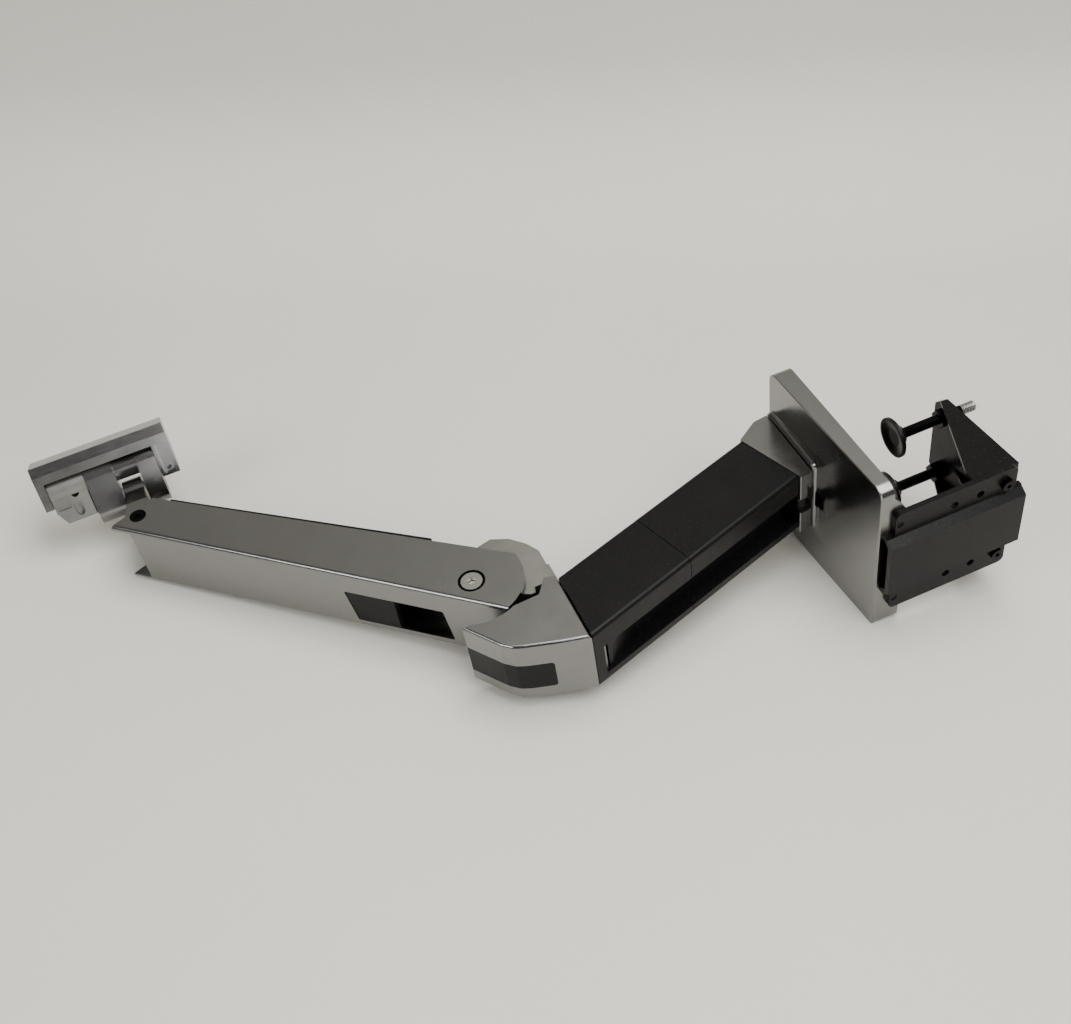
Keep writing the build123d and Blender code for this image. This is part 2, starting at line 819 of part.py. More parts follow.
def arm_prism(points, low, high):
    """Polygon in the arm's own length and height directions, extruded between two Y values."""
    with BuildPart() as solid:
        with BuildSketch(arm_plane.offset(low)):
            Polygon(*points, align=None)
        extrude(amount=high - low)
    return solid.part


def arm_bar(s, v, radius, low, high):
    """Round bar across the arm between two Y values."""
    bar_x = hinge_x + s * arm_dir[0] + v * arm_dir[2]
    bar_z = hinge_z + s * arm_dir[2] - v * arm_dir[0]
    return cross_pin(bar_x, bar_z, radius, low, high)


def make_arm():
    """Polished channel: a web, two tapering side walls, a round elbow end and bolt bosses."""
    with BuildPart() as body:
        with BuildSketch(arm_plane.offset(-arm_half_width)):
            Circle(arm_end_radius)
            with Locations((150, 0)):
                Rectangle(300, 100)
            Polygon(*arm_shape, align=None, mode=Mode.INTERSECT)
        extrude(amount=2 * arm_half_width)
        half_way = arm_length / 2
        web_line = Vector(hinge_x, 0, hinge_z) + Vector(*arm_dir) * half_way
        web_line = web_line + Vector(arm_dir[2], 0, -arm_dir[0]) * near_v(half_way)
        long_edges = body.edges().filter_by(
            lambda e: e.length > 0.75 * arm_length
            and abs(abs(e.center().Y) - arm_half_width) < 0.1
            and (Vector(e.center().X, 0, e.center().Z) - web_line).length < arm_end_radius
        )
        long_edges = ShapeList(long_edges).sort_by(Axis.X)[-2:]
        fillet(long_edges, web_edge_radius)
        with BuildSketch(arm_plane.offset(-arm_half_width + arm_wall)):
            Circle(arm_end_radius - arm_wall)
            with Locations((150, -20)):
                Rectangle(300, 100)
            Polygon(
                (-60, near_v(-60) - arm_wall),
                (300, near_v(300) - arm_wall),
                (300, -60),
                (-60, -60),
                align=None,
                mode=Mode.INTERSECT,
            )
            Polygon((-60, 5), (5, 5), (5, -60), (-60, -60), align=None)
            Polygon((arm_length - 1, -60), (arm_length - 1, 40), (300, 40), (300, -60), align=None)
        extrude(amount=2 * (arm_half_width - arm_wall), mode=Mode.SUBTRACT)
    boss_low = lug_half_width + body_gap
    solid = body.part
    for side in (1, -1):
        ends = sorted((side * boss_low, side * (arm_half_width - 0.5)))
        recess = sorted((side * (arm_half_width - 3), side * 60))
        hole = sorted((side * 10, side * 60))
        solid = solid + arm_bar(0, 0, 13, *ends) + arm_bar(arm_length, 0, 10, *ends)
        solid = solid - arm_bar(0, 0, hinge_recess_radius, *recess) - arm_bar(0, 0, hinge_bolt_radius, *hole)
        countersink = sorted((side * (arm_half_width - 2.2), side * 60))
        solid = solid - arm_bar(arm_length, 0, tip_head_radius + 0.2, *countersink)
        solid = solid - arm_bar(arm_length, 0, tip_screw_radius, *hole)
    web_plane = Plane(
        origin=(hinge_x, 0, hinge_z), x_dir=arm_dir, z_dir=(arm_dir[2], 0, -arm_dir[0])
    )
    with BuildPart() as window:
        with BuildSketch(web_plane.offset(8)):
            Polygon(
                (window_start + 4, -window_high_y),
                (window_end, -window_high_y),
                (window_end - 5, -window_low_y),
                (window_start, -window_low_y),
                align=None,
            )
        extrude(amount=20)
        fillet(window.edges().filter_by(Axis((0, 0, 0), tuple(web_plane.z_dir))), 1.5)
    return solid - window.part, window.part


arm_solid, window_tool = make_arm()
save(arm_solid, "arm_channel")

insert_zone = arm_prism(
    [
        (window_split, 12),
        (window_end + 5, 12),
        (window_end + 5, near_v(80) - 0.8),
        (window_split, near_v(80) - 0.8),
    ],
    -24,
    12,
)
insert_low = spring_v + spring_radius + spring_wire / 2 + 0.3
insert_solid = (window_tool & insert_zone) + arm_prism(
    [
        (window_split, insert_low),
        (window_end + 3, insert_low),
        (window_end + 3, near_v(window_end) - arm_wall - 0.1),
        (window_split, near_v(window_split) - arm_wall - 0.2),
    ],
    window_low_y - 2,
    window_high_y + 3,
)
save(insert_solid, "window_insert")

hinge_washer_thickness = 0.8
cover_proud = 1.8
cover_start = 42.0
cover_end = arm_length - 18.0
hump_start = 44.0
hump_end = 72.0
cover_half = arm_half_width - arm_wall - 0.1
cover_solid = arm_prism(
    [
        (cover_start, far_v(cover_start) - cover_proud),
        (cover_start, far_v(cover_start) + 3.4),
        (cover_end, far_v(cover_end) + 3.0),
        (cover_end, far_v(cover_end) - cover_proud),
    ],
    -cover_half,
    cover_half,
)
cover_solid = cover_solid + arm_prism(
    [
        (cover_start, far_v(cover_start) - cover_proud),
        (cover_start, far_v(cover_start) - 0.1),
        (cover_end + 2, far_v(cover_end + 2) - 0.1),
        (cover_end + 2, far_v(cover_end + 2) - cover_proud),
    ],
    -arm_half_width + 0.8,
    arm_half_width - 0.8,
)
cover_solid = cover_solid + arm_prism(
    [
        (hump_start, far_v(hump_start) + 1.2),
        (hump_start + 5, far_v(hump_start) - 4),
        (hump_end - 6, far_v(hump_end) - 4),
        (hump_end, far_v(hump_end) + 1.2),
    ],
    -cover_half + 3,
    cover_half - 3,
)
save(cover_solid, "arm_cover")

hinge_bolt = arm_bar(0, 0, hinge_bolt_radius, 8, arm_half_width - 2.9)
hinge_bolt = hinge_bolt + arm_bar(
    0, 0, hinge_head_radius, arm_half_width - 3 + hinge_washer_thickness, arm_half_width - 0.2
)
hinge_washer = arm_bar(
    0, 0, hinge_recess_radius - 0.2, arm_half_width - 3, arm_half_width - 3 + hinge_washer_thickness
)
hinge_washer = hinge_washer - arm_bar(0, 0, hinge_bolt_radius + 0.1, 0, 60)
save(both_sides(hinge_washer), "hinge_washers")
with BuildPart() as hinge_socket:
    with BuildSketch(arm_plane.offset(arm_half_width - 2.4)):
        RegularPolygon(2.9, 6)
    extrude(amount=5)
save(both_sides(hinge_bolt - hinge_socket.part), "hinge_bolts")

tip_screw = arm_bar(arm_length, 0, tip_screw_radius, 8, arm_half_width - 2)
tip_screw = tip_screw + arm_bar(arm_length, 0, tip_head_radius, arm_half_width - 2.2, arm_half_width - 0.2)
with BuildPart() as tip_socket:
    with BuildSketch(arm_plane.offset(arm_half_width - 1.7)):
        with Locations((arm_length, 0)):
            RegularPolygon(2.2, 6)
            RegularPolygon(2.2, 6, rotation=30)
    extrude(amount=5)
save(both_sides(tip_screw - tip_socket.part), "tip_screws")

seat_s = (62.5, 68.5)
seat_far_s = (202.0, 208.0)
seat_v = (-5.4, 10.6)
rod_radius = 3.2
seats = []
for start, end in (seat_s, seat_far_s):
    block = arm_prism(
        [
            (start, seat_v[0]),
            (end, seat_v[0]),
            (end, 8.8 if start < window_end else seat_v[1]),
            (start, 8.8 if start < window_end else seat_v[1]),
        ],
        -arm_half_width + arm_wall,
        arm_half_width - arm_wall,
    )
    seats.append(block)
rod_plane = Plane(
    origin=(
        hinge_x + 56 * arm_dir[0] + spring_v * arm_dir[2],
        0,
        hinge_z + 56 * arm_dir[2] - spring_v * arm_dir[0],
    ),
    x_dir=(0, 1, 0),
    z_dir=arm_dir,
)
with BuildPart() as spring_rod:
    with Locations(rod_plane):
        Cylinder(rod_radius, 168, align=(Align.CENTER, Align.CENTER, Align.MIN))
        with Locations((0, 0, 154)):
            Cylinder(5.4, 5, align=(Align.CENTER, Align.CENTER, Align.MIN))
save(spring_rod.part, "spring_rod")
with BuildPart() as rod_hole:
    with Locations(rod_plane):
        Cylinder(rod_radius, 170, align=(Align.CENTER, Align.CENTER, Align.MIN))
seat_parts = [item - rod_hole.part for item in seats]
save(Part(Compound(children=seat_parts).wrapped), "spring_seats")

spring_plane = Plane(
    origin=(
        hinge_x + seat_s[1] * arm_dir[0] + spring_v * arm_dir[2],
        0,
        hinge_z + seat_s[1] * arm_dir[2] - spring_v * arm_dir[0],
    ),
    x_dir=(0, 1, 0),
    z_dir=arm_dir,
)
spring_wire_radius = spring_wire / 2
coil_height = seat_far_s[0] - seat_s[1] - spring_wire
coil = spring_plane.offset(spring_wire_radius + 0.05).location * Helix(
    pitch=spring_pitch, height=coil_height - 0.1, radius=spring_radius
)
with BuildPart() as spring:
    with BuildSketch(Plane(origin=coil @ 0, z_dir=coil % 0)):
        Circle(spring_wire_radius)
    sweep(path=coil, is_frenet=True)
save(spring.part, "spring")

# ---------------------------------------------------------------- links


def make_link():
    """Flat lower link of the parallelogram, with an eye at each end."""
    with BuildPart() as link:
        with BuildSketch(side_plane.offset(link_half_thick)):
            direction = Vector(front_pin_x - rear_pin_x, front_pin_z - rear_pin_z, 0).normalized()
            side = Vector(-direction.Y, direction.X, 0) * link_half_height
            Polygon(
                (rear_pin_x + side.X, rear_pin_z + side.Y),
                (front_pin_x + side.X, front_pin_z + side.Y),
                (front_pin_x - side.X, front_pin_z - side.Y),
                (rear_pin_x - side.X, rear_pin_z - side.Y),
                align=None,
            )
            with Locations((rear_pin_x, rear_pin_z), (front_pin_x, front_pin_z)):
                Circle(6)
                Circle(3 + running_clearance, mode=Mode.SUBTRACT)
        extrude(amount=-2 * link_half_thick)
    return link.part


save(make_link(), "link_bar")


def make_front_link():
    """Upright link at the end of the arm with a flat lug for the pan pin."""
    with BuildPart() as body:
        with BuildSketch(side_plane.offset(lug_half_width)):
            with Locations((tip_x, tip_z)):
                Circle(11)
            with Locations((front_pin_x, front_pin_z)):
                Circle(6.8)
            Polygon(
                (tip_x + 9, tip_z - 6),
                (tip_x, tip_z + 11),
                (tip_x - 12, tip_z + 10),
                (tip_x - 24, front_lug_high),
                (tip_x - 24, front_lug_low),
                (front_pin_x - 4, front_pin_z - 5.5),
                (front_pin_x + 4.5, front_pin_z - 5),
                align=None,
            )
        extrude(amount=-2 * lug_half_width)
        with BuildSketch(Plane.XY.offset(front_lug_low)):
            Polygon(
                (tip_x - 22, -lug_half_width),
                (tip_x - 22, lug_half_width),
                (tip_x - 24, lug_half_width),
                (pan_x + 8, 13.5),
                (pan_x + 8, -13.5),
                (tip_x - 24, -lug_half_width),
                align=None,
            )
            with Locations((pan_x, 0)):
                Circle(14)
        extrude(amount=front_lug_high - front_lug_low)
        with BuildSketch(side_plane.offset(lug_slot_half)):
            Polygon(
                (tip_x + 40, tip_z + 40),
                (tip_x - 16, tip_z + 40),
                (tip_x - 16, front_lug_low + 0.01),
                (tip_x - 16, tip_z - 60),
                (tip_x + 40, tip_z - 60),
                align=None,
            )
        extrude(amount=-2 * lug_slot_half, mode=Mode.SUBTRACT)
        with Locations(Plane((tip_x, -40, tip_z), x_dir=(1, 0, 0), z_dir=(0, 1, 0))):
            Cylinder(tip_sleeve_radius, 80, align=(Align.CENTER, Align.CENTER, Align.MIN), mode=Mode.SUBTRACT)
        with Locations(Plane((front_pin_x, -40, front_pin_z), x_dir=(1, 0, 0), z_dir=(0, 1, 0))):
            Cylinder(3, 80, align=(Align.CENTER, Align.CENTER, Align.MIN), mode=Mode.SUBTRACT)
        with Locations((pan_x, 0, front_lug_low - 1)):
            Cylinder(
                pan_pin_radius + post_clearance + bush_wall,
                30,
                align=(Align.CENTER, Align.CENTER, Align.MIN),
                mode=Mode.SUBTRACT,
            )
    return body.part


save(make_front_link(), "front_link")
sleeve = cross_pin(tip_x, tip_z, tip_sleeve_radius, lug_slot_half, lug_half_width)
sleeve = sleeve - cross_pin(tip_x, tip_z, tip_screw_radius + post_clearance, 0, 60)
save(both_sides(sleeve), "front_bushes")
save(cross_pin(front_pin_x, front_pin_z, 3, -lug_half_width + 0.6, lug_half_width - 0.6), "link_pin_front")

with BuildPart() as pan_bush:
    with BuildSketch(Plane.XY.offset(front_lug_low)):
        with Locations((pan_x, 0)):
            Circle(pan_pin_radius + post_clearance + bush_wall)
            Circle(pan_pin_radius + post_clearance, mode=Mode.SUBTRACT)
    extrude(amount=front_lug_high - front_lug_low)
save(pan_bush.part, "pan_bush")

# ---------------------------------------------------------------- head
leg_radius = 11.0
leg_gap_low = 463.7
leg_gap_high = 481.7
barrel_reach = 25.4
barrel_bore = 4.0
head_plane = Plane(origin=(pan_x, 0, 0), x_dir=facing_dir, z_dir=(0, 0, 1))
block_low = yoke_high + 0.5
block_high = 532.0
slot_low_reach = 8.5
slot_high_reach = 23.0


def make_yoke():
    """Polished two-legged yoke with the round cross barrel."""
    with BuildPart() as yoke:
        for low, high in ((yoke_low, leg_gap_low), (leg_gap_high, yoke_high)):
            with BuildSketch(head_plane.offset(low)):
                with Locations((0, 0), (barrel_reach, 0)):
                    Circle(leg_radius)
                with Locations((barrel_reach / 2, 0)):
                    Rectangle(barrel_reach, 2 * leg_radius)
            extrude(amount=high - low)
        with BuildSketch(head_plane.offset(yoke_low)):
            with Locations((barrel_reach, 0)):
                Circle(barrel_radius + 1.2)
        extrude(amount=block_high - yoke_low)
        with BuildSketch(head_plane.offset(yoke_low - 5)):
            with Locations((barrel_reach, 0)):
                Circle(barrel_bore + 0.05)
            Circle(pan_pin_radius)
        extrude(amount=120, mode=Mode.SUBTRACT)
    return yoke.part


save(make_yoke(), "yoke")

with BuildPart() as pan_pin:
    with BuildSketch(head_plane.offset(yoke_low + 0.8)):
        Circle(pan_pin_radius)
    extrude(amount=yoke_high - yoke_low - 1.6)
save(pan_pin.part, "pan_pin")

with BuildPart() as pan_washers:
    for low, high in ((leg_gap_low + 0.05, front_lug_low - 0.1), (front_lug_high + 0.1, leg_gap_high - 0.05)):
        with BuildSketch(head_plane.offset(low)):
            Circle(9.5)
            Circle(pan_pin_radius + 0.1, mode=Mode.SUBTRACT)
        extrude(amount=high - low)
save(pan_washers.part, "pan_washers")


def make_block():
    """Cast adjustment block beside the yoke, with two slots and a shallow square recess."""
    with BuildPart() as block:
        with BuildSketch(head_plane.offset(block_low)):
            Polygon((0, -9.8), (31.5, -9.8), (31.5, 9.8), (0, 9.8), align=None)
            with Locations((barrel_reach, 0)):
                Circle(leg_radius)
                Circle(barrel_radius + 1.2, mode=Mode.SUBTRACT)
        extrude(amount=block_high - block_low)
        front = Plane(
            origin=(pan_x + 9.8 * facing_dir[1], -9.8 * facing_dir[0], 0),
            x_dir=facing_dir,
            z_dir=(facing_dir[1], -facing_dir[0], 0),
        )
        with BuildSketch(front):
            with Locations((slot_low_reach, block_low + 11)):
                SlotOverall(11, 6)
            with Locations((slot_high_reach, block_low + 10)):
                SlotOverall(10.5, 6.2)
        extrude(amount=-6, mode=Mode.SUBTRACT)
        with BuildSketch(front):
            with Locations((16.5, block_low + 21)):
                RectangleRounded(11, 10.5, 1)
        extrude(amount=-1.6, mode=Mode.SUBTRACT)
        with BuildSketch(front):
            Polygon((-1, block_high + 1), (12, block_high + 1), (-1, block_high - 6), align=None)
        extrude(amount=-40, mode=Mode.SUBTRACT)
        near_edges = block.edges().filter_by(lambda e: e.length > 20 and abs(e.center().Z - block_low) < 0.1)
        chamfer(ShapeList(near_edges).sort_by(Axis.X)[-1:], 0.6)
    return block.part


save(make_block(), "yoke_block")

shaft_low = head_low + 5
with BuildPart() as head_shaft:
    with BuildSketch(head_plane.offset(shaft_low)):
        with Locations((barrel_reach, 0)):
            Circle(barrel_bore)
    extrude(amount=head_high - 1.5 - shaft_low)
save(head_shaft.part, "head_shaft")

ear_high = yoke_low - 0.4
far_ear_low = block_high + 0.4


def make_head():
    """Polished head bar: a bevelled rail with an ear at each end."""
    with BuildPart() as head:
        with BuildSketch(head_plane.offset(head_low)):
            Polygon(
                (35, -13),
                (42, -13.8),
                (49.5, -11.5),
                (49.5, 11.5),
                (42, 13.8),
                (35, 13),
                align=None,
            )
            with Locations((barrel_reach, 0)):
                Circle(leg_radius + 0.6, mode=Mode.SUBTRACT)
        extrude(amount=head_high - head_low)
        with BuildSketch(head_plane.offset(head_low)):
            Polygon((9, -11), (37, -13.2), (37, 13.2), (9, 11), align=None)
        extrude(amount=ear_high - head_low)
        with BuildSketch(head_plane.offset(far_ear_low)):
            Polygon((14, -10.5), (37, -13.2), (37, 13.2), (14, 10.5), align=None)
        extrude(amount=head_high - far_ear_low)
        with BuildSketch(head_plane.offset(shaft_low)):
            with Locations((barrel_reach, 0)):
                Circle(barrel_bore)
        extrude(amount=head_high - 1.5 - shaft_low, mode=Mode.SUBTRACT)
        front = Plane(
            origin=(pan_x + 14 * facing_dir[1], -14 * facing_dir[0], 0),
            x_dir=facing_dir,
            z_dir=(facing_dir[1], -facing_dir[0], 0),
        )
        with BuildSketch(front):
            with Locations((23, head_low + 6.8)):
                RectangleRounded(25, 9, 2.5)
        extrude(amount=-8, mode=Mode.SUBTRACT)
        with BuildSketch(front):
            with Locations((14, head_low + 6.8)):
                Circle(1.8)
        extrude(amount=-16, mode=Mode.SUBTRACT)
    return head.part


save(make_head(), "head_bar")
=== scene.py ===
"""Desk-clamped monitor arm, finished for a render: materials, threads, polished skins, stage and camera."""

import json
import math

import bpy
import numpy as np
from mathutils import Matrix, Vector


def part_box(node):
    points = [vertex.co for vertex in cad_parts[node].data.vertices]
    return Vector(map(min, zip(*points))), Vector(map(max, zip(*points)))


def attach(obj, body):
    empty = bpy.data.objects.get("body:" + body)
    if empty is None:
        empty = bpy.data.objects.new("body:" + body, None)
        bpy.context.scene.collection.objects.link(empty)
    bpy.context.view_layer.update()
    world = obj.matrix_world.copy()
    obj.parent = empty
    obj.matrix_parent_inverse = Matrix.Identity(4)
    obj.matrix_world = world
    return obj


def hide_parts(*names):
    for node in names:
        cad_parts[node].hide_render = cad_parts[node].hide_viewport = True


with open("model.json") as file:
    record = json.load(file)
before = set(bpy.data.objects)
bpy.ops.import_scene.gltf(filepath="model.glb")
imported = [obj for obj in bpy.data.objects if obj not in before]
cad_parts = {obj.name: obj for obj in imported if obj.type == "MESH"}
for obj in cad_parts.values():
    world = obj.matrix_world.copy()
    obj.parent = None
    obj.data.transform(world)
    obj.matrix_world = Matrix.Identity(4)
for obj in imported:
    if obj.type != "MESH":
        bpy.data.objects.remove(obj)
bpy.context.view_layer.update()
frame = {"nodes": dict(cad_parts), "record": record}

bl_info = {
    "name": "Monitor arm finish",
    "version": (1, 0, 0),
    "blender": (4, 5, 0),
    "location": "3D View > Sidebar > Monitor Arm",
    "description": "Finishes the packed monitor arm with materials, threads, a stage and a camera",
    "category": "Object",
}

MM = 0.001
# Share of a ring's radius that is small enough to close a turned piece at its axis.
CLOSED_TIP = 0.0005


# ------------------------------------------------------------------ settings
class MonitorArmColours(bpy.types.PropertyGroup):
    """Colours of the real materials, as sRGB hex words."""

    polished: bpy.props.StringProperty(
        name="Polished aluminium", description="Colour of the polished castings", default="#848483"
    )
    satin: bpy.props.StringProperty(
        name="Satin aluminium", description="Colour of the tumbled castings", default="#8d8c88"
    )
    frame: bpy.props.StringProperty(
        name="Raw casting", description="Colour of the castings inside the covers", default="#7d7c79"
    )
    moulding: bpy.props.StringProperty(
        name="Black moulding", description="Colour of the moulded covers", default="#0c0c0d"
    )
    coat: bpy.props.StringProperty(
        name="Black powder coat", description="Colour of the coated clamp steel", default="#0a0a0b"
    )
    zinc: bpy.props.StringProperty(
        name="Zinc plate", description="Colour of the plated steel", default="#a9a9a4"
    )
    oxide: bpy.props.StringProperty(
        name="Black oxide", description="Colour of the blackened steel", default="#121213"
    )
    bearing: bpy.props.StringProperty(
        name="Bearing plastic", description="Colour of bushes and washers", default="#c9c6bb"
    )
    rubber: bpy.props.StringProperty(
        name="Rubber", description="Colour of the pad under the base", default="#1b1b1b"
    )
    floor: bpy.props.StringProperty(
        name="Floor", description="Colour of the paper sweep", default="#dcd9d2"
    )


class MonitorArmSizes(bpy.types.PropertyGroup):
    """Sizes of the added detail, in metres."""

    thread_pitch: bpy.props.FloatProperty(
        name="Thread pitch", description="Pitch of the clamp rods", default=1.25 * MM, unit="LENGTH"
    )
    thread_depth: bpy.props.FloatProperty(
        name="Thread depth", description="Depth of the clamp rod thread", default=0.55 * MM, unit="LENGTH"
    )
    bright_end: bpy.props.FloatProperty(
        name="Bright rod end",
        description="Length of bare steel at the socket end",
        default=11 * MM,
        unit="LENGTH",
    )
    wave_length: bpy.props.FloatProperty(
        name="Polish waviness",
        description="Length of the slow waves left by polishing",
        default=38 * MM,
        unit="LENGTH",
    )
    peel_length: bpy.props.FloatProperty(
        name="Coat grain", description="Grain size of the powder coat", default=0.9 * MM, unit="LENGTH"
    )
    texture_length: bpy.props.FloatProperty(
        name="Mould grain", description="Grain size of the mould texture", default=0.35 * MM, unit="LENGTH"
    )


def colours():
    """The colour settings of this scene."""
    return bpy.context.scene.monitor_arm_colours


def sizes():
    """The size settings of this scene."""
    return bpy.context.scene.monitor_arm_sizes


# ------------------------------------------------------------------ helpers
def linear(text):
    """Linear RGBA from an sRGB hex word."""
    parts = [int(text[i : i + 2], 16) / 255 for i in (1, 3, 5)]
    return tuple(c / 12.92 if c <= 0.04045 else ((c + 0.055) / 1.055) ** 2.4 for c in parts) + (1.0,)


def add(tree, kind, links=None, values=None, **settings):
    """Adds one shader node, sets its options and socket values, and joins its inputs."""
    made = tree.nodes.new(kind)
    for name, value in settings.items():
        setattr(made, name, value)
    for name, value in (values or {}).items():
        made.inputs[name].default_value = value
    for name, socket in (links or {}).items():
        tree.links.new(socket, made.inputs[name])
    return made


def new_material(name):
    """An empty node material and its tree."""
    material = bpy.data.materials.new(name)
    material.use_nodes = True
    material.node_tree.nodes.clear()
    return material, material.node_tree


def finish_material(tree, shader):
    """Joins the shader to the material output."""
    add(tree, "ShaderNodeOutputMaterial", {"Surface": shader.outputs[0]})


def ramp(tree, source, low, high, out_low, out_high):
    """A straight remap of one value, held at its ends."""
    return add(
        tree,
        "ShaderNodeMapRange",
        {"Value": source},
        {"From Min": low, "From Max": high, "To Min": out_low, "To Max": out_high},
    ).outputs[0]


def noise(tree, place, length, detail=2.0, rough=0.5):
    """Noise whose blobs are about the given length across."""
    return add(
        tree,
        "ShaderNodeTexNoise",
        {"Vector": place},
        {"Scale": 1.0 / length, "Detail": detail, "Roughness": rough},
    ).outputs["Fac"]


def bumped(tree, height, distance, strength=1.0, normal=None):
    """A bump from a height in metres."""
    links = {"Height": height}
    if normal is not None:
        links["Normal"] = normal
    return add(
        tree, "ShaderNodeBump", links, {"Distance": distance, "Strength": strength}
    ).outputs[0]


def blend_colour(tree, fac, first, second):
    """Mix of two colours by a value."""
    mix = add(tree, "ShaderNodeMix", data_type="RGBA")
    tree.links.new(fac, mix.inputs[0])
    mix.inputs[6].default_value = first
    mix.inputs[7].default_value = second
    return mix.outputs[2]


def dimmed(colour, share):
    """The same colour at a share of its brightness."""
    return tuple(c * share for c in colour[:3]) + (1.0,)


# ------------------------------------------------------------------ materials
def polished_aluminium():
    """Polished cast aluminium: a soft mirror with slow waves, fine buffing lines and a few dull marks."""
    material, tree = new_material("polished cast aluminium")
    place = add(tree, "ShaderNodeTexCoord").outputs["Object"]
    slow = noise(tree, place, sizes().wave_length, 1.0)
    stretched = add(
        tree, "ShaderNodeMapping", {"Vector": place}, {"Scale": (1.0, 14.0, 1.0)}
    ).outputs[0]
    lines = noise(tree, stretched, 9 * MM, 4.0, 0.65)
    marks = noise(tree, place, 16 * MM, 5.0, 0.7)
    dull = ramp(tree, marks, 0.50, 0.85, 0.0, 1.0)
    rough = add(
        tree,
        "ShaderNodeMath",
        {0: ramp(tree, lines, 0.35, 0.7, 0.19, 0.26)},
        operation="ADD",
    )
    tree.links.new(ramp(tree, dull, 0.0, 1.0, 0.0, 0.05), rough.inputs[1])
    tone = blend_colour(tree, dull, linear(colours().polished), dimmed(linear(colours().polished), 0.9))
    normal = bumped(tree, slow, 0.35 * MM)
    normal = bumped(tree, lines, 0.006 * MM, 0.5, normal)
    shader = add(
        tree,
        "ShaderNodeBsdfPrincipled",
        {"Base Color": tone, "Roughness": rough.outputs[0], "Normal": normal},
        {"Metallic": 1.0},
    )
    finish_material(tree, shader)
    return material


def satin_aluminium(name, colour):
    """Tumbled cast aluminium: soft grey sheen with a fine, even grain."""
    material, tree = new_material(name)
    place = add(tree, "ShaderNodeTexCoord").outputs["Object"]
    grain = noise(tree, place, 0.7 * MM, 3.0, 0.6)
    patch = noise(tree, place, 22 * MM, 3.0)
    tone = blend_colour(
        tree, ramp(tree, patch, 0.35, 0.7, 0, 1), linear(colour), dimmed(linear(colour), 0.8)
    )
    shader = add(
        tree,
        "ShaderNodeBsdfPrincipled",
        {
            "Base Color": tone,
            "Roughness": ramp(tree, grain, 0.3, 0.7, 0.32, 0.46),
            "Normal": bumped(tree, grain, 0.03 * MM, 0.7),
        },
        {"Metallic": 1.0},
    )
    finish_material(tree, shader)
    return material


def dark_skin(name, colour, grain_length, low, high, depth, dust=0.03):
    """Black skin with a fine grain, a slight change of gloss and a trace of pale dust."""
    material, tree = new_material(name)
    place = add(tree, "ShaderNodeTexCoord").outputs["Object"]
    grain = noise(tree, place, grain_length, 2.0, 0.6)
    patch = noise(tree, place, 30 * MM, 4.0, 0.6)
    specks = noise(tree, place, 1.4 * MM, 2.0)
    base = linear(colour)
    pale = tuple(c + dust for c in base[:3]) + (1.0,)
    tone = blend_colour(tree, ramp(tree, specks, 0.6, 0.8, 0.0, 0.7), base, pale)
    shader = add(
        tree,
        "ShaderNodeBsdfPrincipled",
        {
            "Base Color": tone,
            "Roughness": ramp(tree, patch, 0.3, 0.7, low, high),
            "Normal": bumped(tree, grain, depth, 0.8),
        },
        {"Specular IOR Level": 0.14},
    )
    finish_material(tree, shader)
    return material


def plated_steel(name, colour, low, high):
    """Plated or blackened steel: turned lines and a cloudy sheen."""
    material, tree = new_material(name)
    place = add(tree, "ShaderNodeTexCoord").outputs["Object"]
    fine = noise(tree, place, 0.6 * MM, 3.0)
    cloud = noise(tree, place, 6 * MM, 3.0)
    base = linear(colour)
    tone = blend_colour(tree, ramp(tree, cloud, 0.35, 0.7, 0, 1), base, dimmed(base, 0.78))
    shader = add(
        tree,
        "ShaderNodeBsdfPrincipled",
        {
            "Base Color": tone,
            "Roughness": ramp(tree, cloud, 0.3, 0.7, low, high),
            "Normal": bumped(tree, fine, 0.015 * MM, 0.7),
        },
        {"Metallic": 1.0},
    )
    finish_material(tree, shader)
    return material


def bearing_plastic():
    """Bearing plastic: smooth ivory polymer with a faint mottle."""
    material, tree = new_material("acetal bearing plastic")
    place = add(tree, "ShaderNodeTexCoord").outputs["Object"]
    patch = noise(tree, place, 4 * MM, 2.0)
    base = linear(colours().bearing)
    shader = add(
        tree,
        "ShaderNodeBsdfPrincipled",
        {
            "Base Color": blend_colour(tree, patch, base, dimmed(base, 0.85)),
            "Roughness": ramp(tree, patch, 0.3, 0.7, 0.35, 0.5),
        },
    )
    finish_material(tree, shader)
    return material


def make_materials():
    """Every finish, by its slot name."""
    if "polished cast aluminium" in bpy.data.materials:
        return {m["arm_slot"]: m for m in bpy.data.materials if "arm_slot" in m}
    c = colours()
    made = {
        "polished_casting": polished_aluminium(),
        "satin_casting": satin_aluminium("satin cast aluminium", c.satin),
        "black_moulding": dark_skin(
            "moulded black ABS", c.moulding, sizes().texture_length, 0.30, 0.42, 0.03 * MM
        ),
        "black_powder_coat": dark_skin(
            "powder-coated steel", c.coat, sizes().peel_length, 0.26, 0.36, 0.04 * MM
        ),
        "zinc_steel": plated_steel("zinc-plated steel", c.zinc, 0.22, 0.36),
        "blackened_steel": plated_steel("black oxide steel", c.oxide, 0.30, 0.45),
        "cast_frame": satin_aluminium("raw cast aluminium frame", c.frame),
        "bearing_plastic": bearing_plastic(),
        "foot_rubber": dark_skin("rubber sheet", c.rubber, 0.5 * MM, 0.6, 0.75, 0.04 * MM),
    }
    for slot_name, material in made.items():
        material["arm_slot"] = slot_name
    return made


def paint(piece, slot_name):
    """Gives a piece one finish."""
    piece.data.materials.clear()
    piece.data.materials.append(make_materials()[slot_name])


